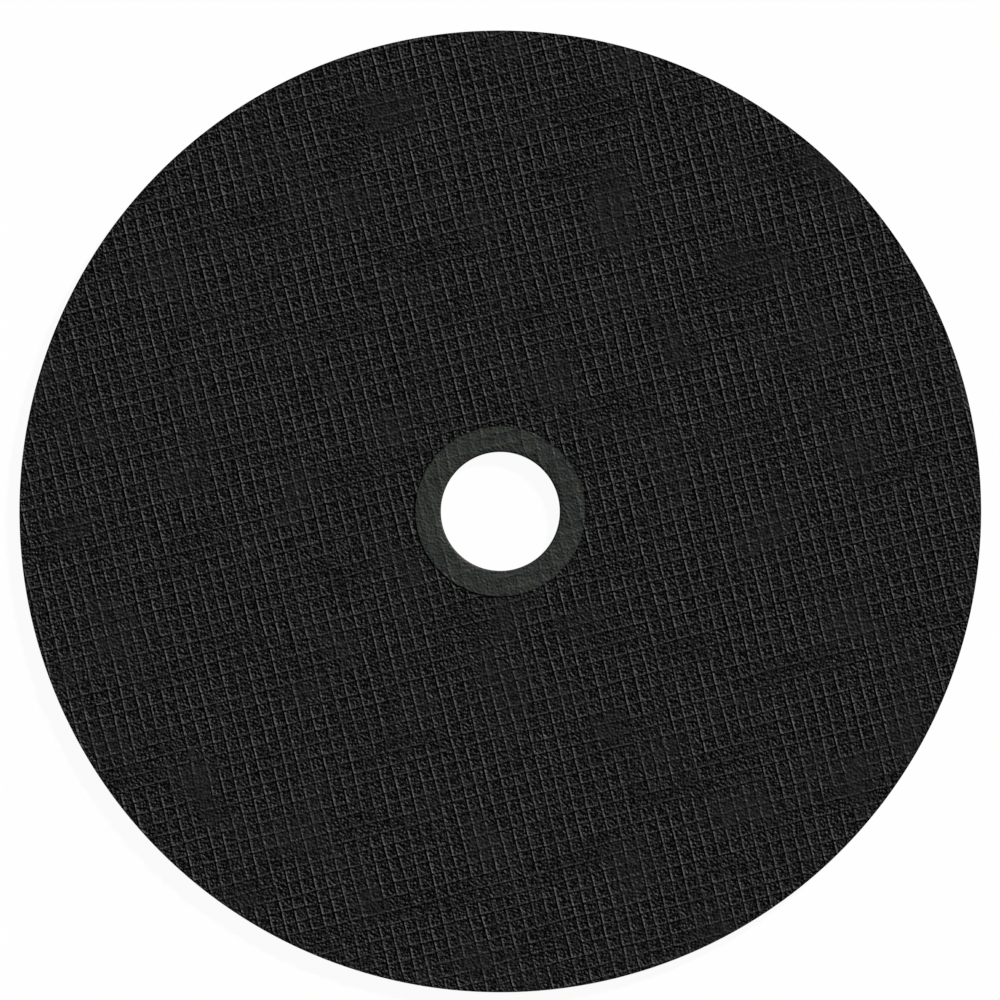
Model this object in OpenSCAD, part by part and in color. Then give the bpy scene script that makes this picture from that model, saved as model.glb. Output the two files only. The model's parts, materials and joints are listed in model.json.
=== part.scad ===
// Flat cut-off wheel for a hand-held grinder: a thin bonded-abrasive disc with a glass mesh
// pressed into both faces, and a clinched sheet-steel ring that lines its bore.
// Millimetres. The wheel lies on its back face, +Z up, with the origin on its axis at that face.

/* [Wheel] */
// Outside diameter of the wheel
wheel_d = 180; // [100:1:230]
// Thickness over the ridges of the mesh
wheel_t = 1.6; // [1.2:0.1:3.2]

/* [Glass mesh] */
// Spacing of the yarns, the same in both directions
yarn_pitch = 2.41; // [1.6:0.01:6]
// Width of the ridge that one yarn makes in the face
yarn_w = 1; // [0.6:0.1:1.4]
// Height of the ridges above the openings between them
mesh_depth = 0.2; // [0.1:0.01:0.22]
// Turn of the mesh about the axis of the wheel
mesh_angle = 14; // [0:1:89]
// Most ridges drawn across the wheel, a whole number of yarns apart
max_ridges = 26; // [12:1:26]

/* [Arbor ring] */
// Diameter of the bore
bore_d = 22.23; // [16:0.01:25.4]
// Outside diameter of the flange on the front face
flange_d = 31.8; // [29:0.1:40]
// Outside diameter of the clinched lip on the back face
lip_d = 27; // [26.8:0.1:32]
// Thickness of the sheet steel
sheet_t = 0.25; // [0.23:0.01:0.35]
// Inside radius of the folds at both mouths of the bore
fold_in_r = 0.15; // [0.1:0.01:0.2]
// Gap between the ring and the edges of its hole and recesses in the disc
ring_gap = 0.05; // [0.02:0.01:0.1]

/* [Hidden] */
$fn = 128;

wheel_r = wheel_d / 2;
bore_r = bore_d / 2;
flange_r = flange_d / 2;
lip_r = lip_d / 2;
fold_r = fold_in_r + sheet_t;

// Outside radius of the wider rim of the ring
rim_r = max(flange_r, lip_r);

// Hole in the disc that the sleeve of the ring goes through
hole_r = bore_r + sheet_t + ring_gap;

// How far a cutting shape, or a shape to be trimmed, passes the finished faces
overcut = 1;

// Drawn ridges follow every third yarn of a wheel of this size, and fewer on a larger one
ridge_pitch = yarn_pitch * ceil(wheel_d / yarn_pitch / max_ridges);

// Lattice lines and cells: cell [i, j] lies between the lines i and i + 1, j and j + 1
reach = ceil((wheel_r + overcut) / ridge_pitch);
line_count = 2 * reach + 1;
cell_count = 2 * reach;
line_range = [-reach : reach];
cell_range = [-reach : reach - 1];

// Corners of a cell, counter-clockwise from above, and the step to the cell across each side
CORNERS = [[0, 0], [1, 0], [1, 1], [0, 1]];
ACROSS = [[0, -1], [1, 0], [0, 1], [-1, 0]];

FRONT = 0;
BACK = 1;

// A cell is needed if its corner nearest to the axis lies inside the round outline
function is_needed(cell) =
    norm([for (index = cell) max(index, -index - 1, 0)]) * ridge_pitch < wheel_r + overcut;

// Places of a yarn crossing, and of a corner of the floor of a cell, in the list of points
function crossing(face, at) = (face * line_count + at.x + reach) * line_count + at.y + reach;
function floor_corner(face, cell, k) =
    2 * line_count * line_count
    + ((face * cell_count + cell.x + reach) * cell_count + cell.y + reach) * 4 + k % 4;

// A loop of points that runs counter-clockwise from above, turned to face out of the plate
function outward(face, loop) = face == BACK ? loop : [for (k = [len(loop) - 1 : -1 : 0]) loop[k]];

// Floor of a cell, and the slope from the yarn along one side of it down to that floor
function cell_floor(face, cell) = outward(face, [for (k = [0 : 3]) floor_corner(face, cell, k)]);
function yarn_slope(face, cell, k) = outward(face, [
    crossing(face, cell + CORNERS[k]),
    crossing(face, cell + CORNERS[(k + 1) % 4]),
    floor_corner(face, cell, k + 1),
    floor_corner(face, cell, k)
]);

// Upright wall of the plate where no cell follows
function plate_edge(cell, k) = [
    crossing(FRONT, cell + CORNERS[k]),
    crossing(FRONT, cell + CORNERS[(k + 1) % 4]),
    crossing(BACK, cell + CORNERS[(k + 1) % 4]),
    crossing(BACK, cell + CORNERS[k])
];

// Plate with the mesh in both faces: crossing yarn ridges with a flat floor in each opening
module woven_plate() {
    crossings = [
        for (z = [wheel_t, 0], i = line_range, j = line_range)
            [i * ridge_pitch, j * ridge_pitch, z]
    ];
    floor_corners = [
        for (z = [wheel_t - mesh_depth, mesh_depth], i = cell_range, j = cell_range, corner = CORNERS)
            let (inset = ([1, 1] - 2 * corner) * yarn_w / 2)
            concat(([i, j] + corner) * ridge_pitch + inset, z)
    ];
    cells = [for (i = cell_range, j = cell_range) if (is_needed([i, j])) [i, j]];
    polyhedron(concat(crossings, floor_corners), [
        for (cell = cells, face = [FRONT, BACK]) cell_floor(face, cell),
        for (cell = cells, face = [FRONT, BACK], k = [0 : 3]) yarn_slope(face, cell, k),
        for (cell = cells, k = [0 : 3]) if (!is_needed(cell + ACROSS[k])) plate_edge(cell, k)
    ]);
}

// Radial profile of a plate that lies below both faces by the same inset, its inner corners rounded
module plate_profile(inner_r, outer_r, inset, corner_r) {
    plate_t = wheel_t - 2 * inset;
    translate([inner_r + corner_r, inset]) square([outer_r - inner_r - corner_r, plate_t]);
    translate([inner_r, inset + corner_r]) square([2 * corner_r, plate_t - 2 * corner_r]);
    for (z = [inset + corner_r, wheel_t - inset - corner_r])
        translate([inner_r + corner_r, z]) circle(corner_r);
}

// Radial profile of all that lies past the flange in the front half and past the lip in the back half
module past_rims_profile(gap) {
    half_size = [wheel_r, wheel_t / 2 + overcut];
    translate([flange_r + gap, wheel_t / 2]) square(half_size);
    translate([lip_r + gap, -overcut]) square(half_size);
}

// Bonded-abrasive disc, one pressed piece with the mesh in both of its faces
module abrasive_disc() {
    color([0.12, 0.12, 0.12])
        difference() {
            intersection() {
                rotate(mesh_angle) woven_plate();
                translate([0, 0, -overcut]) cylinder(r = wheel_r, h = wheel_t + 2 * overcut);
            }
            rotate_extrude()
                difference() {
                    translate([0, -overcut]) square([rim_r + ring_gap, wheel_t + 2 * overcut]);
                    plate_profile(hole_r, rim_r + overcut, sheet_t, fold_in_r + ring_gap);
                    past_rims_profile(ring_gap);
                }
        }
}

// Ring like a flat eyelet: a sleeve through the bore, a wide flange on the front face that
// lies flush with the mesh, and a narrow lip clinched over the back face
module arbor_ring() {
    color([0.19, 0.2, 0.19])
        rotate_extrude()
            difference() {
                plate_profile(bore_r, rim_r, 0, fold_r);
                plate_profile(bore_r + sheet_t, rim_r + overcut, sheet_t, fold_in_r);
                past_rims_profile(0);
            }
}

abrasive_disc();
arbor_ring();
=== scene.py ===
import json
import math

import bmesh
import bpy
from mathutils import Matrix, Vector, noise


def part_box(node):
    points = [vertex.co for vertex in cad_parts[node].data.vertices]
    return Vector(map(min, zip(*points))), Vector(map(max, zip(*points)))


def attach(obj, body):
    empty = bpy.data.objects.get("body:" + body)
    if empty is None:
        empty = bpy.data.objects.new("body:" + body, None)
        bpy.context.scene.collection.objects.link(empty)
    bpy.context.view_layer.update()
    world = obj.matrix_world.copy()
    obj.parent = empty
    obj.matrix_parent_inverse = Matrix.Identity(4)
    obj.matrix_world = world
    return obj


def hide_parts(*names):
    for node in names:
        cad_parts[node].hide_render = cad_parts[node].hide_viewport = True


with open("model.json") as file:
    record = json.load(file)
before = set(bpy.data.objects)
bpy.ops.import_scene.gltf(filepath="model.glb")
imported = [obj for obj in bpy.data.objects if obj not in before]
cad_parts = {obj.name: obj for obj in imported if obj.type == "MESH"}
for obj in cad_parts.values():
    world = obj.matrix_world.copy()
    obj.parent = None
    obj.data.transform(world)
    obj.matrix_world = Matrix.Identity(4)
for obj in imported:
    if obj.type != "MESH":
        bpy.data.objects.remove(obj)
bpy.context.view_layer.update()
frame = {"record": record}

MM = 0.001

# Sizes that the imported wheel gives
WHEEL_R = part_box("abrasive_disc")[1][0]
WHEEL_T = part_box("abrasive_disc")[1][2]
FLANGE_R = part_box("arbor_ring")[1][0]
BORE = next(mount["dims"] for mount in frame["record"]["mounts"] if mount["name"] == "arbor_bore")
BORE_R = BORE["r_mm"] * MM
FOLD_R = (WHEEL_T - BORE["length_mm"] * MM) / 2

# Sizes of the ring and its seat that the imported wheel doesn't list
SHEET_T = 0.25 * MM
LIP_R = 13.5 * MM
RING_GAP = 0.05 * MM
SEAT_GAP = 0.02 * MM
HOLE_R = BORE_R + SHEET_T + RING_GAP

# Steps of the rounded folds at both mouths of the bore, and points in a turned row
FOLD_STEPS = [math.radians(angle) for angle in (20, 40, 60, 80, 90)]
TURNED_POINTS = 240

# Glass mesh under the resin: yarn spacing, ridge width and height in the disc and in the ring's flange
YARN_PITCH = 2.41 * MM
YARN_WIDTH = 0.68 * MM
MESH_DEPTH = 0.25 * MM
FLANGE_RELIEF = 0.1 * MM

# Lines of points to a yarn: its crest, and a foot on each side
LINES_A_YARN = 3

# How the mesh lies: its turn in the wheel, the sideways wander of a yarn and the raggedness of its edge
MESH_TURN = math.radians(14)
WANDER = 1.1 * MM
WANDER_LENGTH = 22 * MM
KINK = 0.1 * MM

# Resin-filled patches: size, noise of a full one and of none, and how much of a yarn shows in a full one
PATCH_SIZE = 14 * MM
PATCH_FULL = 0.26
PATCH_NONE = 0.5
PATCH_SHOWING = 0.66

# The same for stretches where the warp lies deeper
DEEP_LENGTH = 22 * MM
DEEP_WIDTH = 9 * MM
DEEP_FULL = 0.32
DEEP_NONE = 0.45
DEEP_SHOWING = 0.3

# Lumps in the openings between yarns: size, and height as a share of the relief
LUMP_SIZE = 1.3 * MM
LUMP_HEIGHT = 0.3

# How much of the warp's pale crest tone the weft has. That tone is partly wear and partly painted
# highlight
WEFT_PALE_SHARE = 0.71

# Places in the noise: the mesh of each face, how high the yarns lie, and the steps from one yarn to the
# next and from warp to weft
FRONT_SEED = 0.0
BACK_SEED = 40.0
LIFT_PLACE = 50.0
LANE_STEP = 3.7
FAMILY_STEP = 10.0

# Middle of any noise
NOISE_MIDDLE = 0.5

# Inner points keep this far from a trimmed edge, and yarns reach this many spacings past it
TRIM_MARGIN = 0.2 * MM
SPARE_YARNS = 2

# Points of an open edge lie this close to its radius, and at least this far apart along it
ON_RADIUS = 0.01 * MM
LEAST_GAP = 0.02 * MM

# Rim: heights of its level and gritty rows, points in a gritty row, depth and size of missing grit
RIM_FRONT_Z = 1.3 * MM
RIM_BACK_Z = 0.3 * MM
GRITTY_ZS = [z * MM for z in (1.1, 0.9, 0.7, 0.5)]
RIM_POINTS = 1100
RIM_GRIT = 0.14 * MM
RIM_GRIT_SIZE = 0.7 * MM

# Edges between faces that meet more sharply than this stay crisp, as the yarns do in the photograph
SHARP_ANGLE = math.radians(12)

# Grit of the disc and grain of the ring are really about half this size, drawn coarser so that they show
# in the render. Specks of half the size lie over them, with this share of their strength
GRIT_SIZE = 0.5 * MM
FINE_SHARE = 0.3
GRIT_NOISE = {"Scale": 1 / GRIT_SIZE, "Detail": 1, "Roughness": FINE_SHARE}

# Height of the bumps that the grit makes on the disc, and the grain on the ring
GRIT_BUMP = 0.51 * MM
GRAIN_BUMP = 0.2 * MM

# How much of a full patch its film of resin covers, and how much of the pale crest tone, partly wear and
# partly painted highlight, the ring has
FILM_COVER = 0.5
RING_PALE_SHARE = 0.65

# Ring: size of its blotches, size and reach of the resin that creeps over its outer edge, and the sum of
# radius and reach at which that resin begins and is full
BLOTCH_SIZE = 2.5 * MM
CREEP_SIZE = 0.9 * MM
CREEP_REACH = 2 * MM
CREEP_BEGINS = FLANGE_R + 1 * MM
CREEP_FULL = FLANGE_R + 1.4 * MM

# Painted shade in the mouth of the bore: where it begins, where it is full, and how strongly it darkens
# the steel
MOUTH_BEGINS = BORE_R + 0.3 * MM
MOUTH_FULL = BORE_R + 0.1 * MM
MOUTH_SHADE_SHARE = 0.6

# Matt gloss of both finishes
ROUGHNESS = 0.5
SPECULAR = 0.12

# How much of the floor that is seen is plain white
FLOOR_GLOW = 0.95


def add(tree, kind, settings=(), inputs=()):
    """Add a node with its settings. An input takes a plain value or the socket that feeds it."""
    node = tree.nodes.new(kind)
    for name, value in dict(settings).items():
        setattr(node, name, value)
    for socket, value in dict(inputs).items():
        if isinstance(value, bpy.types.NodeSocket):
            tree.links.new(value, node.inputs[socket])
        else:
            node.inputs[socket].default_value = value
    return node


def linear(hex_colour):
    """Turn an sRGB hex colour such as #1c1c1c into linear RGBA."""
    channels = [int(hex_colour[i:i + 2], 16) / 255 for i in (1, 3, 5)]
    return [c / 12.92 if c <= 0.04045 else ((c + 0.055) / 1.055) ** 2.4 for c in channels] + [1]


# Geometry Nodes: the face of a pressed glass mesh


def pressed_mesh_tree():
    """Face of the pressed mesh between two radii, with a crest line and two foot lines a yarn."""
    tree = bpy.data.node_groups.new("pressed mesh face", "GeometryNodeTree")
    sizes = {
        "Yarn Pitch": "Float", "Yarn Width": "Float", "Top": "Float", "Relief": "Float",
        "Wander": "Float", "Kink": "Float", "Inner Radius": "Float", "Outer Radius": "Float",
        "Trim Margin": "Float", "Turn": "Float", "Yarns Each Way": "Int", "Seed": "Float",
        "Finish": "Material",
    }
    for name, kind in sizes.items():
        tree.interface.new_socket(name, in_out="INPUT", socket_type=f"NodeSocket{kind}")
    tree.interface.new_socket("Mesh", in_out="OUTPUT", socket_type="NodeSocketGeometry")
    size = add(tree, "NodeGroupInput").outputs

    # A square grid of whole numbers, three lines of points to a yarn
    span = add(tree, "ShaderNodeMath", {"operation": "MULTIPLY"}, {
        0: size["Yarns Each Way"], 1: 2 * LINES_A_YARN})
    count = add(tree, "ShaderNodeMath", {"operation": "ADD"}, {0: span.outputs[0], 1: 1})
    grid = add(tree, "GeometryNodeMeshGrid", inputs={
        "Size X": span.outputs[0], "Size Y": span.outputs[0],
        "Vertices X": count.outputs[0], "Vertices Y": count.outputs[0]})
    place = add(tree, "GeometryNodeInputPosition")
    lines = add(tree, "ShaderNodeSeparateXYZ", inputs={0: place.outputs[0]})
    half_width = add(tree, "ShaderNodeMath", {"operation": "MULTIPLY"}, {0: size["Yarn Width"], 1: 0.5})

    # Which yarn a point belongs to, whether it is on the crest, and where a straight yarn has it
    yarns = []
    for axis in range(2):
        line = add(tree, "ShaderNodeMath", {"operation": "ROUND"}, {0: lines.outputs[axis]})
        in_yarns = add(tree, "ShaderNodeMath", {"operation": "DIVIDE"},
                       {0: line.outputs[0], 1: LINES_A_YARN})
        index = add(tree, "ShaderNodeMath", {"operation": "ROUND"}, {0: in_yarns.outputs[0]})
        side = add(tree, "ShaderNodeMath", {"operation": "MULTIPLY_ADD"},
                   {0: index.outputs[0], 1: -LINES_A_YARN, 2: line.outputs[0]})
        off_crest = add(tree, "ShaderNodeMath", {"operation": "ABSOLUTE"}, {0: side.outputs[0]})
        crest = add(tree, "ShaderNodeMath", {"operation": "SUBTRACT"}, {0: 1, 1: off_crest.outputs[0]})
        middle = add(tree, "ShaderNodeMath", {"operation": "MULTIPLY"},
                     {0: index.outputs[0], 1: size["Yarn Pitch"]})
        straight = add(tree, "ShaderNodeMath", {"operation": "MULTIPLY_ADD"},
                       {0: side.outputs[0], 1: half_width.outputs[0], 2: middle.outputs[0]})
        yarns.append({"index": index.outputs[0], "side": side.outputs[0], "crest": crest.outputs[0],
                      "straight": straight.outputs[0]})

    # Smoother patches, where resin has filled the mesh
    flat_place = add(tree, "ShaderNodeCombineXYZ",
                     inputs={0: yarns[0]["straight"], 1: yarns[1]["straight"], 2: size["Seed"]})
    patch_noise = add(tree, "ShaderNodeTexNoise",
                      inputs={"Vector": flat_place.outputs[0], "Scale": 1 / PATCH_SIZE, "Detail": 1})
    patch = add(tree, "ShaderNodeMapRange", {"interpolation_type": "SMOOTHSTEP"}, {
        "Value": patch_noise.outputs[0], "From Min": PATCH_FULL, "From Max": PATCH_NONE,
        "To Min": 1, "To Max": 0})
    showing = add(tree, "ShaderNodeMapRange",
                  inputs={"Value": patch.outputs[0], "To Min": 1, "To Max": PATCH_SHOWING})

    # Stretches along the weft in which the warp lies deeper
    weft_wise = add(tree, "ShaderNodeVectorMath", {"operation": "MULTIPLY"},
                    {0: flat_place.outputs[0], 1: (1 / DEEP_LENGTH, 1 / DEEP_WIDTH, 1)})
    deep_noise = add(tree, "ShaderNodeTexNoise",
                     inputs={"Vector": weft_wise.outputs[0], "Scale": 1, "Detail": 1})
    deep = add(tree, "ShaderNodeMapRange", {"interpolation_type": "SMOOTHSTEP"}, {
        "Value": deep_noise.outputs[0], "From Min": DEEP_FULL, "From Max": DEEP_NONE,
        "To Min": DEEP_SHOWING, "To Max": 1})
    warp_showing = add(tree, "ShaderNodeMath", {"operation": "MULTIPLY"},
                       {0: showing.outputs[0], 1: deep.outputs[0]})

    # Resin drowns single crossings of two yarns more or less deeply
    crossing_place = add(tree, "ShaderNodeCombineXYZ",
                         inputs={0: yarns[0]["index"], 1: yarns[1]["index"], 2: size["Seed"]})
    crossing_noise = add(tree, "ShaderNodeTexWhiteNoise", {"noise_dimensions": "3D"},
                         {"Vector": crossing_place.outputs[0]})
    crossing = add(tree, "FunctionNodeSeparateColor", inputs={0: crossing_noise.outputs["Color"]})

    # Single points lie a little aside, which leaves the yarns ragged
    kink_noise = add(tree, "ShaderNodeTexWhiteNoise", {"noise_dimensions": "3D"},
                     {"Vector": flat_place.outputs[0]})
    kink = add(tree, "FunctionNodeSeparateColor", inputs={0: kink_noise.outputs["Color"]})

    # Each yarn wanders sideways along its length, and rises and sinks in the resin. First the warp,
    # which runs up the wheel and shows most, then the weft across it
    families = [
        {"name": "warp", "lift_length": 7 * MM, "low": 0.28, "high": 0.5, "least": 0.45,
         "drowned": 0.72, "dip": 0.88, "showing": warp_showing},
        {"name": "weft", "lift_length": 4.5 * MM, "low": 0.36, "high": 0.5, "least": 0.55,
         "drowned": 0.75, "dip": 0.65, "showing": showing},
    ]
    on_points = {"data_type": "FLOAT", "domain": "POINT"}
    shifted, lifted = [], []
    marked = grid
    for axis, family in enumerate(families):
        own, other = yarns[axis], yarns[1 - axis]
        lane = add(tree, "ShaderNodeMath", {"operation": "MULTIPLY_ADD"},
                   {0: own["index"], 1: LANE_STEP, 2: size["Seed"]})
        along = add(tree, "ShaderNodeMath", {"operation": "DIVIDE"},
                    {0: other["straight"], 1: WANDER_LENGTH})
        wander_place = add(tree, "ShaderNodeCombineXYZ",
                           inputs={0: lane.outputs[0], 1: along.outputs[0], 2: FAMILY_STEP * axis})
        wander_noise = add(tree, "ShaderNodeTexNoise",
                           inputs={"Vector": wander_place.outputs[0], "Scale": 1, "Detail": 1})
        wander = add(tree, "ShaderNodeMath", {"operation": "SUBTRACT"},
                     {0: wander_noise.outputs[0], 1: NOISE_MIDDLE})
        smooth_way = add(tree, "ShaderNodeMath", {"operation": "MULTIPLY_ADD"},
                         {0: wander.outputs[0], 1: size["Wander"], 2: own["straight"]})
        aside = add(tree, "ShaderNodeMath", {"operation": "SUBTRACT"},
                    {0: kink.outputs[axis], 1: NOISE_MIDDLE})
        shifted.append(add(tree, "ShaderNodeMath", {"operation": "MULTIPLY_ADD"},
                           {0: aside.outputs[0], 1: size["Kink"], 2: smooth_way.outputs[0]}).outputs[0])

        along = add(tree, "ShaderNodeMath", {"operation": "DIVIDE"},
                    {0: other["straight"], 1: family["lift_length"]})
        lift_place = add(tree, "ShaderNodeCombineXYZ", inputs={
            0: lane.outputs[0], 1: along.outputs[0], 2: LIFT_PLACE + FAMILY_STEP * axis})
        lift_noise = add(tree, "ShaderNodeTexNoise",
                         inputs={"Vector": lift_place.outputs[0], "Scale": 1, "Detail": 2})
        lift = add(tree, "ShaderNodeMapRange", {"interpolation_type": "SMOOTHSTEP"}, {
            "Value": lift_noise.outputs[0], "From Min": family["low"], "From Max": family["high"],
            "To Min": family["least"], "To Max": 1})
        drowned = add(tree, "ShaderNodeMapRange", inputs={
            "Value": crossing.outputs[axis], "To Min": family["drowned"], "To Max": 1})
        free_lift = add(tree, "ShaderNodeMath", {"operation": "MULTIPLY"},
                        {0: lift.outputs[0], 1: drowned.outputs[0]})
        crest_lift = add(tree, "ShaderNodeMath", {"operation": "MULTIPLY"},
                         {0: free_lift.outputs[0], 1: own["crest"]})
        bare_lift = add(tree, "ShaderNodeMath", {"operation": "MULTIPLY"},
                        {0: crest_lift.outputs[0], 1: family["showing"].outputs[0]})

        # It dips on the lower, or left, side of every yarn that it crosses. That side faces away from the
        # key light, and is marked for painted shade too
        dip = add(tree, "ShaderNodeMapRange", inputs={
            "Value": other["side"], "From Min": -1, "From Max": 0, "To Min": family["dip"], "To Max": 1})
        lifted.append(add(tree, "ShaderNodeMath", {"operation": "MULTIPLY"},
                          {0: bare_lift.outputs[0], 1: dip.outputs[0]}).outputs[0])
        # The resin mark is painted shade: full on the lower, or left, side of the crossing yarn, away
        # from the key light, and rising towards it across the opening
        lee_shade = add(tree, "ShaderNodeMapRange", inputs={
            "Value": other["side"], "From Min": 0, "From Max": 1, "To Min": 1, "To Max": 0})
        for mark, value in (("crest", bare_lift), ("resin", lee_shade)):
            marked = add(tree, "GeometryNodeStoreNamedAttribute", on_points, {
                "Geometry": marked.outputs[0], "Name": f"{family['name']}_{mark}",
                "Value": value.outputs[0]})

    # The higher yarn sets the height, and the openings between yarns are uneven
    upper = add(tree, "ShaderNodeMath", {"operation": "MAXIMUM"}, {0: lifted[0], 1: lifted[1]})
    floor_noise = add(tree, "ShaderNodeTexNoise",
                      inputs={"Vector": flat_place.outputs[0], "Scale": 1 / LUMP_SIZE, "Detail": 0})
    uneven = add(tree, "ShaderNodeMath", {"operation": "MULTIPLY"},
                 {0: floor_noise.outputs[0], 1: LUMP_HEIGHT})
    height = add(tree, "ShaderNodeMath", {"operation": "MAXIMUM"},
                 {0: upper.outputs[0], 1: uneven.outputs[0]})
    below_top = add(tree, "ShaderNodeMath", {"operation": "SUBTRACT"}, {0: height.outputs[0], 1: 1})
    level = add(tree, "ShaderNodeMath", {"operation": "MULTIPLY_ADD"},
                {0: below_top.outputs[0], 1: size["Relief"], 2: size["Top"]})
    woven_place = add(tree, "ShaderNodeCombineXYZ",
                      inputs={0: shifted[0], 1: shifted[1], 2: level.outputs[0]})
    turned_place = add(tree, "ShaderNodeVectorRotate", {"rotation_type": "Z_AXIS"},
                       {"Vector": woven_place.outputs[0], "Angle": size["Turn"]})

    filled = add(tree, "GeometryNodeStoreNamedAttribute", on_points, {
        "Geometry": marked.outputs[0], "Name": "resin_fill", "Value": patch.outputs[0]})
    woven = add(tree, "GeometryNodeSetPosition",
                inputs={"Geometry": filled.outputs[0], "Position": turned_place.outputs[0]})

    # Trim to the two radii: whole faces go, the points of the open edges move onto the radii, and
    # the others keep clear of them
    flat = add(tree, "ShaderNodeVectorMath", {"operation": "MULTIPLY"},
               {0: place.outputs[0], 1: (1, 1, 0)})
    radius = add(tree, "ShaderNodeVectorMath", {"operation": "LENGTH"}, {0: flat.outputs[0]})
    least_outside = add(tree, "ShaderNodeMath", {"operation": "SUBTRACT"},
                        {0: size["Outer Radius"], 1: size["Trim Margin"]})
    most_inside = add(tree, "ShaderNodeMath", {"operation": "ADD"},
                      {0: size["Inner Radius"], 1: size["Trim Margin"]})
    outside = add(tree, "FunctionNodeCompare", {"operation": "GREATER_THAN"},
                  {"A": radius.outputs["Value"], "B": least_outside.outputs[0]})
    inside = add(tree, "FunctionNodeCompare", {"operation": "LESS_THAN"},
                 {"A": radius.outputs["Value"], "B": most_inside.outputs[0]})
    unwanted = add(tree, "FunctionNodeBooleanMath", {"operation": "OR"},
                   {0: outside.outputs[0], 1: inside.outputs[0]})
    by_point = add(tree, "GeometryNodeFieldOnDomain", {"data_type": "BOOLEAN", "domain": "POINT"},
                   {"Value": unwanted.outputs[0]})
    trimmed = add(tree, "GeometryNodeDeleteGeometry", {"domain": "FACE", "mode": "ALL"},
                  {"Geometry": woven.outputs[0], "Selection": by_point.outputs[0]})
    edge_faces = add(tree, "GeometryNodeInputMeshEdgeNeighbors")
    one_face = add(tree, "FunctionNodeCompare", {"operation": "LESS_THAN"},
                   {"A": edge_faces.outputs[0], "B": 1.5})
    on_open_edge = add(tree, "GeometryNodeFieldOnDomain", {"data_type": "BOOLEAN", "domain": "EDGE"},
                       {"Value": one_face.outputs[0]})
    edge_radius = add(tree, "GeometryNodeSwitch", {"input_type": "FLOAT"}, {
        "Switch": outside.outputs[0], "False": size["Inner Radius"], "True": size["Outer Radius"]})
    clear_radius = add(tree, "ShaderNodeClamp", inputs={
        "Value": radius.outputs["Value"], "Min": most_inside.outputs[0], "Max": least_outside.outputs[0]})
    new_radius = add(tree, "GeometryNodeSwitch", {"input_type": "FLOAT"}, {
        "Switch": on_open_edge.outputs[0], "False": clear_radius.outputs[0],
        "True": edge_radius.outputs[0]})
    ratio = add(tree, "ShaderNodeMath", {"operation": "DIVIDE"},
                {0: new_radius.outputs[0], 1: radius.outputs["Value"]})
    stretch = add(tree, "ShaderNodeCombineXYZ", inputs={0: ratio.outputs[0], 1: ratio.outputs[0], 2: 1})
    round_place = add(tree, "ShaderNodeVectorMath", {"operation": "MULTIPLY"},
                      {0: place.outputs[0], 1: stretch.outputs[0]})
    rounded = add(tree, "GeometryNodeSetPosition",
                  inputs={"Geometry": trimmed.outputs[0], "Position": round_place.outputs[0]})

    real = add(tree, "GeometryNodeRealizeInstances", inputs={0: rounded.outputs[0]})
    finished = add(tree, "GeometryNodeSetMaterial",
                   inputs={"Geometry": real.outputs[0], "Material": size["Finish"]})
    add(tree, "NodeGroupOutput", inputs={0: finished.outputs[0]})
    return tree


def pressed_mesh_face(tree, finish, inner_r, outer_r, relief, seed):
    """Run the tree once and give its face as a plain mesh."""
    values = {
        "Yarn Pitch": YARN_PITCH, "Yarn Width": YARN_WIDTH, "Top": WHEEL_T, "Relief": relief,
        "Wander": WANDER, "Kink": KINK, "Inner Radius": inner_r, "Outer Radius": outer_r,
        "Trim Margin": TRIM_MARGIN, "Turn": MESH_TURN,
        "Yarns Each Way": math.ceil(outer_r / YARN_PITCH) + SPARE_YARNS, "Seed": seed, "Finish": finish,
    }
    carrier = bpy.data.objects.new("mesh_face", bpy.data.meshes.new("mesh_face"))
    bpy.context.collection.objects.link(carrier)
    nodes = carrier.modifiers.new("pressed mesh face", "NODES")
    nodes.node_group = tree
    for item in tree.interface.items_tree:
        if item.in_out == "INPUT":
            nodes[item.identifier] = values[item.name]
    depsgraph = bpy.context.evaluated_depsgraph_get()
    mesh = bpy.data.meshes.new_from_object(carrier.evaluated_get(depsgraph), depsgraph=depsgraph)
    bpy.data.objects.remove(carrier)
    return mesh


# Mesh code: close the faces into whole pieces


def angle_of(vert):
    return math.atan2(vert.co.y, vert.co.x)


def angles_of(row):
    return [angle_of(vert) for vert in row]


def open_edge(verts, radius):
    """Points of the open edge at one radius, in order round the axis, none of them doubling back."""
    beside = {}
    for edge in {edge for vert in verts for edge in vert.link_edges}:
        if edge.is_boundary and all(abs(v.co.xy.length - radius) < ON_RADIUS for v in edge.verts):
            first, second = edge.verts
            beside.setdefault(first, []).append(second)
            beside.setdefault(second, []).append(first)
    row = [min(beside, key=angle_of)]
    row.append(min(beside[row[0]], key=angle_of))
    while len(row) < len(beside):
        row.append(next(vert for vert in beside[row[-1]] if vert is not row[-2]))

    least_step = LEAST_GAP / radius
    last = -math.pi
    for vert in row:
        last = max(angle_of(vert), last + least_step)
        vert.co.x = radius * math.cos(last)
        vert.co.y = radius * math.sin(last)
    return row


def even_angles(count):
    return [-math.pi + 2 * math.pi * (i + 0.5) / count for i in range(count)]


def level_row(bm, radius, z, angles, grit=0.0):
    """Row of points round the axis at one height. Grit lets single points sink towards the axis."""
    row = []
    for angle in angles:
        place = Vector((radius * math.cos(angle), radius * math.sin(angle), z))
        if grit:
            sunk = 0.5 + 0.5 * noise.noise(place / RIM_GRIT_SIZE)
            place *= 1 - grit * sunk / radius
            place.z = z
        row.append(bm.verts.new(place))
    return row


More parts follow.
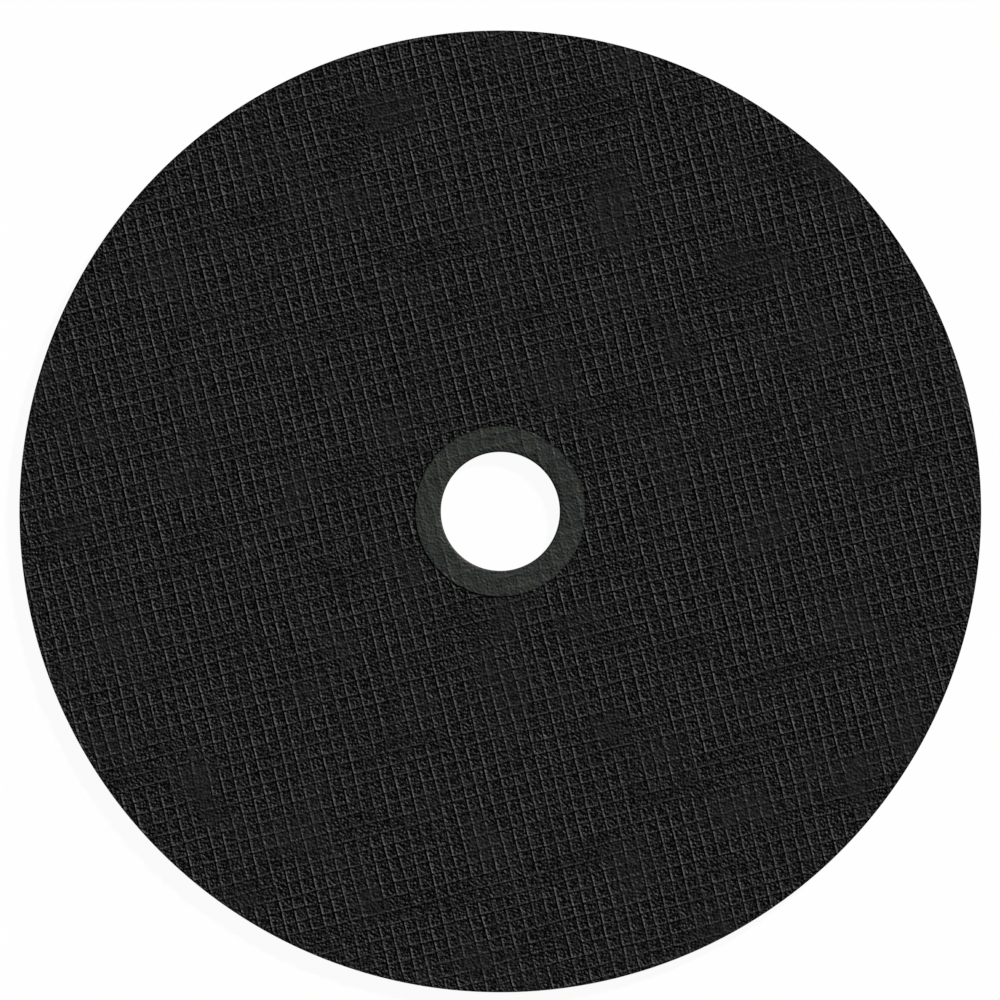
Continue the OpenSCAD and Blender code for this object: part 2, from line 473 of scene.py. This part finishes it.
def zip_rows(bm, first, second):
    """Fill the band between two closed rows of points that are in order of angle."""
    near, far = [[(angle_of(v), v) for v in row] for row in (first, second)]
    for row in (near, far):
        row.append((row[0][0] + 2 * math.pi, row[0][1]))
    i = j = 0
    while i < len(near) - 1 or j < len(far) - 1:
        step_near = j == len(far) - 1 or (i < len(near) - 1 and near[i + 1][0] <= far[j + 1][0])
        if step_near:
            bm.faces.new((near[i][1], near[i + 1][1], far[j][1]))
            i += 1
        else:
            bm.faces.new((near[i][1], far[j + 1][1], far[j][1]))
            j += 1


def zip_chain(bm, rows):
    for first, second in zip(rows, rows[1:]):
        zip_rows(bm, first, second)


def no_pale_crest(bm, *edges):
    """Cut ends of the yarns, along the edges of a face, get no pale crest tone: neither wear nor painted
    highlight.
    """
    for name in ("warp_crest", "weft_crest"):
        crest = bm.verts.layers.float[name]
        for edge in edges:
            for vert in edge:
                vert[crest] = 0


def finished_piece(bm, name, finish):
    """Turn a closed bmesh into an object with its faces outwards and one material."""
    bmesh.ops.recalc_face_normals(bm, faces=bm.faces)
    for face in bm.faces:
        face.material_index = 0
        face.smooth = True
    mesh = bpy.data.meshes.new(name)
    bm.to_mesh(mesh)
    bm.free()
    mesh.materials.append(finish)
    mesh.set_sharp_from_angle(angle=SHARP_ANGLE)
    piece = bpy.data.objects.new(name, mesh)
    bpy.context.collection.objects.link(piece)
    return piece


def woven_disc(tree, finish):
    """Abrasive disc: a mesh face on both sides, a gritty rim and the seat of the ring."""
    seat_front_r = FLANGE_R + RING_GAP
    seat_back_r = LIP_R + RING_GAP
    bm = bmesh.new()
    bm.from_mesh(pressed_mesh_face(tree, finish, seat_back_r, WHEEL_R, MESH_DEPTH, BACK_SEED))
    for vert in bm.verts:
        vert.co.z = WHEEL_T - vert.co.z
    back_rim, back_seat = open_edge(bm.verts, WHEEL_R), open_edge(bm.verts, seat_back_r)

    built = set(bm.verts)
    bm.from_mesh(pressed_mesh_face(tree, finish, seat_front_r, WHEEL_R, MESH_DEPTH, FRONT_SEED))
    front = [vert for vert in bm.verts if vert not in built]
    front_rim, front_seat = open_edge(front, WHEEL_R), open_edge(front, seat_front_r)

    # Each ragged edge meets a level row at its own angles, and evenly spaced rows follow
    front_level = level_row(bm, WHEEL_R, RIM_FRONT_Z, angles_of(front_rim))
    rim_rows = [level_row(bm, WHEEL_R, z, even_angles(RIM_POINTS), RIM_GRIT) for z in GRITTY_ZS]
    back_level = level_row(bm, WHEEL_R, RIM_BACK_Z, angles_of(back_rim))
    zip_chain(bm, [front_rim, front_level, *rim_rows, back_level, back_rim])
    seat_depth = SHEET_T + SEAT_GAP
    hole_angles = even_angles(TURNED_POINTS)
    seat_rows = [
        level_row(bm, radius, z, angles)
        for radius, z, angles in (
            (seat_front_r, WHEEL_T - seat_depth, angles_of(front_seat)),
            (HOLE_R, WHEEL_T - seat_depth, hole_angles), (HOLE_R, seat_depth, hole_angles),
            (seat_back_r, seat_depth, angles_of(back_seat)))
    ]
    zip_chain(bm, [front_seat, *seat_rows, back_seat])

    no_pale_crest(bm, front_rim, back_rim, front_seat, back_seat)
    return finished_piece(bm, "woven_disc", finish)


def clinched_ring(tree, finish):
    """Steel ring: the mesh prints faintly through its flange, and the rest is turned sheet."""
    bm = bmesh.new()
    face_inner_r = BORE_R + FOLD_R
    bm.from_mesh(pressed_mesh_face(tree, finish, face_inner_r, FLANGE_R, FLANGE_RELIEF, FRONT_SEED))
    face_edge, face_mouth = open_edge(bm.verts, FLANGE_R), open_edge(bm.verts, face_inner_r)
    fold_top = WHEEL_T - FLANGE_RELIEF
    for vert in face_mouth:
        vert.co.z = fold_top
    front_fold, back_fold = [], []
    for angle in FOLD_STEPS:
        radius = face_inner_r - FOLD_R * math.sin(angle)
        front_fold.append((radius, fold_top - FOLD_R + FOLD_R * math.cos(angle)))
        back_fold.append((radius, FOLD_R - FOLD_R * math.cos(angle)))
    sleeve_r = BORE_R + SHEET_T
    mouth_row = level_row(bm, *front_fold[0], angles_of(face_mouth))
    turned = [
        *front_fold[1:], *reversed(back_fold), (face_inner_r, 0), (LIP_R, 0), (LIP_R, SHEET_T),
        (sleeve_r, SHEET_T), (sleeve_r, WHEEL_T - SHEET_T),
    ]
    turned_rows = [level_row(bm, radius, z, even_angles(TURNED_POINTS)) for radius, z in turned]
    edge_row = level_row(bm, FLANGE_R, WHEEL_T - SHEET_T, angles_of(face_edge))
    zip_chain(bm, [face_mouth, mouth_row, *turned_rows, edge_row, face_edge])
    no_pale_crest(bm, face_edge, face_mouth)
    return finished_piece(bm, "clinched_ring", finish)


# Materials


def shader_tree(name):
    material = bpy.data.materials.new(name)
    material.use_nodes = True
    material.node_tree.nodes.clear()
    return material, material.node_tree


def crest_wear_and_highlight(tree):
    """How pale a crest is, partly wear and partly painted highlight: the higher the paler, except on the
    lower, or left, side of a crossing yarn, where painted shade hides it.
    """
    tones = []
    for yarn, share in (("warp", 1), ("weft", WEFT_PALE_SHARE)):
        crest = add(tree, "ShaderNodeAttribute", {"attribute_name": f"{yarn}_crest"})
        # The resin attribute is painted shade on the lower, or left, side of a crossing yarn, where the
        # pale tone is hidden
        resin = add(tree, "ShaderNodeAttribute", {"attribute_name": f"{yarn}_resin"})
        clear = add(tree, "ShaderNodeMapRange", {"interpolation_type": "SMOOTHSTEP"}, {
            "Value": resin.outputs["Fac"], "From Min": 0.9, "From Max": 1, "To Min": share, "To Max": 0})
        tones.append(add(tree, "ShaderNodeMath", {"operation": "MULTIPLY"},
                         {0: crest.outputs["Fac"], 1: clear.outputs[0]}))
    return add(tree, "ShaderNodeMath", {"operation": "MAXIMUM"},
               {0: tones[0].outputs[0], 1: tones[1].outputs[0]}).outputs[0]


def resin_bonded_abrasive():
    """Baked phenolic resin over grain and glass mesh: near black, matt, with a dull sheen on the grit,
    painted shade in its pits, and pale crests that are partly wear and partly painted highlight.
    """
    material, tree = shader_tree("resin_bonded_abrasive")
    place = add(tree, "ShaderNodeTexCoord").outputs["Object"]
    grit = add(tree, "ShaderNodeTexNoise", inputs={"Vector": place, **GRIT_NOISE})
    # Grit tone, dark where the grit lies low and lighter on its tops: partly the grain's own tone and
    # partly painted shade in the pits
    tone = add(tree, "ShaderNodeValToRGB", inputs={0: grit.outputs[0]})
    stops = tone.color_ramp.elements
    stops[0].position, stops[0].color = 0.38, linear("#020202")
    stops[1].position, stops[1].color = 0.62, linear("#1f1f1f")
    crest = crest_wear_and_highlight(tree)
    fill = add(tree, "ShaderNodeAttribute", {"attribute_name": "resin_fill"})
    covered = add(tree, "ShaderNodeMath", {"operation": "MULTIPLY"},
                  {0: fill.outputs["Fac"], 1: FILM_COVER})
    resin = add(tree, "ShaderNodeMix", {"data_type": "RGBA"}, {
        "Factor": covered.outputs[0], 6: tone.outputs[0], 7: linear("#242424")})
    # Pale crests: partly wear and partly painted highlight
    pale_wear_and_highlight = add(tree, "ShaderNodeMath", {"operation": "POWER"}, {0: crest, 1: 2})
    colour = add(tree, "ShaderNodeMix", {"data_type": "RGBA"}, {
        "Factor": pale_wear_and_highlight.outputs[0], 6: resin.outputs[2], 7: linear("#545454")})
    smooth = add(tree, "ShaderNodeMath", {"operation": "MAXIMUM"}, {0: crest, 1: covered.outputs[0]})
    bare = add(tree, "ShaderNodeMath", {"operation": "SUBTRACT"}, {0: 1, 1: smooth.outputs[0]})
    bump = add(tree, "ShaderNodeBump", inputs={
        "Strength": bare.outputs[0], "Distance": GRIT_BUMP, "Height": grit.outputs[0]})
    shader = add(tree, "ShaderNodeBsdfPrincipled", inputs={
        "Base Color": colour.outputs[2], "Roughness": ROUGHNESS, "Specular IOR Level": SPECULAR,
        "Normal": bump.outputs[0]})
    add(tree, "ShaderNodeOutputMaterial", inputs={"Surface": shader.outputs[0]})
    return material


def phosphated_steel():
    """Phosphated sheet steel under a film of resin: dark grey-green and satin, with green, blue-grey and
    olive blotches, pale crests of the printed mesh that are partly wear and partly painted highlight,
    black resin that has crept over its outer edge, and painted shade in the mouth of the bore."""
    material, tree = shader_tree("phosphated_steel")
    place = add(tree, "ShaderNodeTexCoord").outputs["Object"]
    blotch = add(tree, "ShaderNodeTexNoise", inputs={
        "Vector": place, "Scale": 1 / BLOTCH_SIZE, "Detail": 2})
    tone = add(tree, "ShaderNodeValToRGB", inputs={0: blotch.outputs[0]})
    stops = tone.color_ramp.elements
    stops[0].position, stops[0].color = 0.3, linear("#292e29")
    stops[1].position, stops[1].color = 0.7, linear("#35362f")
    for position, colour in ((0.43, "#2c302f"), (0.57, "#313430")):
        stops.new(position).color = linear(colour)
    # Pale crests of the printed mesh, partly wear and partly painted highlight
    ring_crest_pale = add(tree, "ShaderNodeMath", {"operation": "MULTIPLY"},
                 {0: crest_wear_and_highlight(tree), 1: RING_PALE_SHARE})
    printed_crests = add(tree, "ShaderNodeMix", {"data_type": "RGBA"}, {
        "Factor": ring_crest_pale.outputs[0], 6: tone.outputs[0], 7: linear("#464b45")})

    # Resin creeps over the outer edge of the flange in places, and the mouth of the bore is darkened as
    # painted shade
    flat = add(tree, "ShaderNodeVectorMath", {"operation": "MULTIPLY"}, {0: place, 1: (1, 1, 0)})
    radius = add(tree, "ShaderNodeVectorMath", {"operation": "LENGTH"}, {0: flat.outputs[0]})
    creep = add(tree, "ShaderNodeTexNoise", inputs={
        "Vector": place, "Scale": 1 / CREEP_SIZE, "Detail": 1})
    reach = add(tree, "ShaderNodeMath", {"operation": "MULTIPLY_ADD"}, {
        0: creep.outputs[0], 1: CREEP_REACH, 2: radius.outputs["Value"]})
    outer = add(tree, "ShaderNodeMapRange", {"interpolation_type": "SMOOTHSTEP"}, {
        "Value": reach.outputs[0], "From Min": CREEP_BEGINS, "From Max": CREEP_FULL})
    mouth_shade = add(tree, "ShaderNodeMapRange", {"interpolation_type": "SMOOTHSTEP"}, {
        "Value": radius.outputs["Value"], "From Min": MOUTH_BEGINS, "From Max": MOUTH_FULL,
        "To Max": MOUTH_SHADE_SHARE})
    # Black resin over the outer edge, together with painted shade in the mouth of the bore; #151615
    # colours both
    resin = add(tree, "ShaderNodeMath", {"operation": "MAXIMUM"},
                {0: outer.outputs[0], 1: mouth_shade.outputs[0]})
    colour = add(tree, "ShaderNodeMix", {"data_type": "RGBA"}, {
        "Factor": resin.outputs[0], 6: printed_crests.outputs[2], 7: linear("#151615")})

    grain = add(tree, "ShaderNodeTexNoise", inputs={"Vector": place, **GRIT_NOISE})
    bump = add(tree, "ShaderNodeBump", inputs={
        "Strength": 1, "Distance": GRAIN_BUMP, "Height": grain.outputs[0]})
    shader = add(tree, "ShaderNodeBsdfPrincipled", inputs={
        "Base Color": colour.outputs[2], "Roughness": ROUGHNESS, "Specular IOR Level": SPECULAR,
        "Normal": bump.outputs[0]})
    add(tree, "ShaderNodeOutputMaterial", inputs={"Surface": shader.outputs[0]})
    return material


def pale_floor():
    """White studio floor. What is seen of it is mostly plain white, with a light shadow of the wheel."""
    material, tree = shader_tree("pale_floor")
    matt = add(tree, "ShaderNodeBsdfDiffuse", inputs={"Color": linear("#f4f4f4")})
    glow = add(tree, "ShaderNodeEmission", inputs={"Color": linear("#ffffff"), "Strength": 1})
    rays = add(tree, "ShaderNodeLightPath").outputs
    bounced = add(tree, "ShaderNodeMath", {"operation": "MAXIMUM"},
                  {0: rays["Is Glossy Ray"], 1: rays["Is Transmission Ray"]})
    seen = add(tree, "ShaderNodeMath", {"operation": "MAXIMUM"},
               {0: rays["Is Camera Ray"], 1: bounced.outputs[0]})
    share = add(tree, "ShaderNodeMath", {"operation": "MULTIPLY"}, {0: seen.outputs[0], 1: FLOOR_GLOW})
    inner_side = add(tree, "ShaderNodeNewGeometry").outputs["Backfacing"]
    white = add(tree, "ShaderNodeMath", {"operation": "MAXIMUM"}, {0: share.outputs[0], 1: inner_side})
    mix = add(tree, "ShaderNodeMixShader",
              inputs={0: white.outputs[0], 1: matt.outputs[0], 2: glow.outputs[0]})
    add(tree, "ShaderNodeOutputMaterial", inputs={"Surface": mix.outputs[0]})
    return material


# The two pieces

mesh_tree = pressed_mesh_tree()
disc = woven_disc(mesh_tree, resin_bonded_abrasive())
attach(disc, "root")
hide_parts("abrasive_disc")

ring = clinched_ring(mesh_tree, phosphated_steel())
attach(ring, "root")
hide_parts("arbor_ring")

# Floor, light and camera

# The floor is a slab, so a low camera that dips under its top sees the white inside of it
FLOOR_HALF = 20
FLOOR_DEPTH = 0.2
floor_bm = bmesh.new()
slab = bmesh.ops.create_cube(floor_bm, size=1)["verts"]
bmesh.ops.scale(floor_bm, vec=(2 * FLOOR_HALF, 2 * FLOOR_HALF, FLOOR_DEPTH), verts=slab)
bmesh.ops.translate(floor_bm, vec=(0, 0, -FLOOR_DEPTH / 2), verts=slab)
floor_mesh = bpy.data.meshes.new("floor")
floor_bm.to_mesh(floor_mesh)
floor_bm.free()
floor_mesh.materials.append(pale_floor())
floor = bpy.data.objects.new("floor", floor_mesh)
bpy.context.collection.objects.link(floor)

scene = bpy.context.scene
scene.view_settings.view_transform = "Standard"
world = bpy.data.worlds.new("studio")
world.use_nodes = True
world.node_tree.nodes["Background"].inputs["Color"].default_value = (1, 1, 1, 1)
world.node_tree.nodes["Background"].inputs["Strength"].default_value = 0.05
scene.world = world

key = bpy.data.objects.new("key", bpy.data.lights.new("key", "SUN"))
key.data.energy = 7.3
key.data.angle = math.radians(5)
key_from = Vector((1, 1.1, 0.58))
key.rotation_euler = key_from.to_track_quat("Z", "Y").to_euler()
bpy.context.collection.objects.link(key)

# Straight down on the wheel, placed as in the photograph: width of the view, centre of the rim, height
VIEW_WIDTH = 187.14 * MM
RIM_CENTRE_IN_VIEW = Vector((0.054, -2.133)) * MM
CAMERA_HEIGHT = 0.5
camera = bpy.data.objects.new("camera", bpy.data.cameras.new("camera"))
camera.data.type = "ORTHO"
camera.data.ortho_scale = VIEW_WIDTH
camera.location = (-RIM_CENTRE_IN_VIEW.x, -RIM_CENTRE_IN_VIEW.y, CAMERA_HEIGHT)
bpy.context.collection.objects.link(camera)
scene.camera = camera
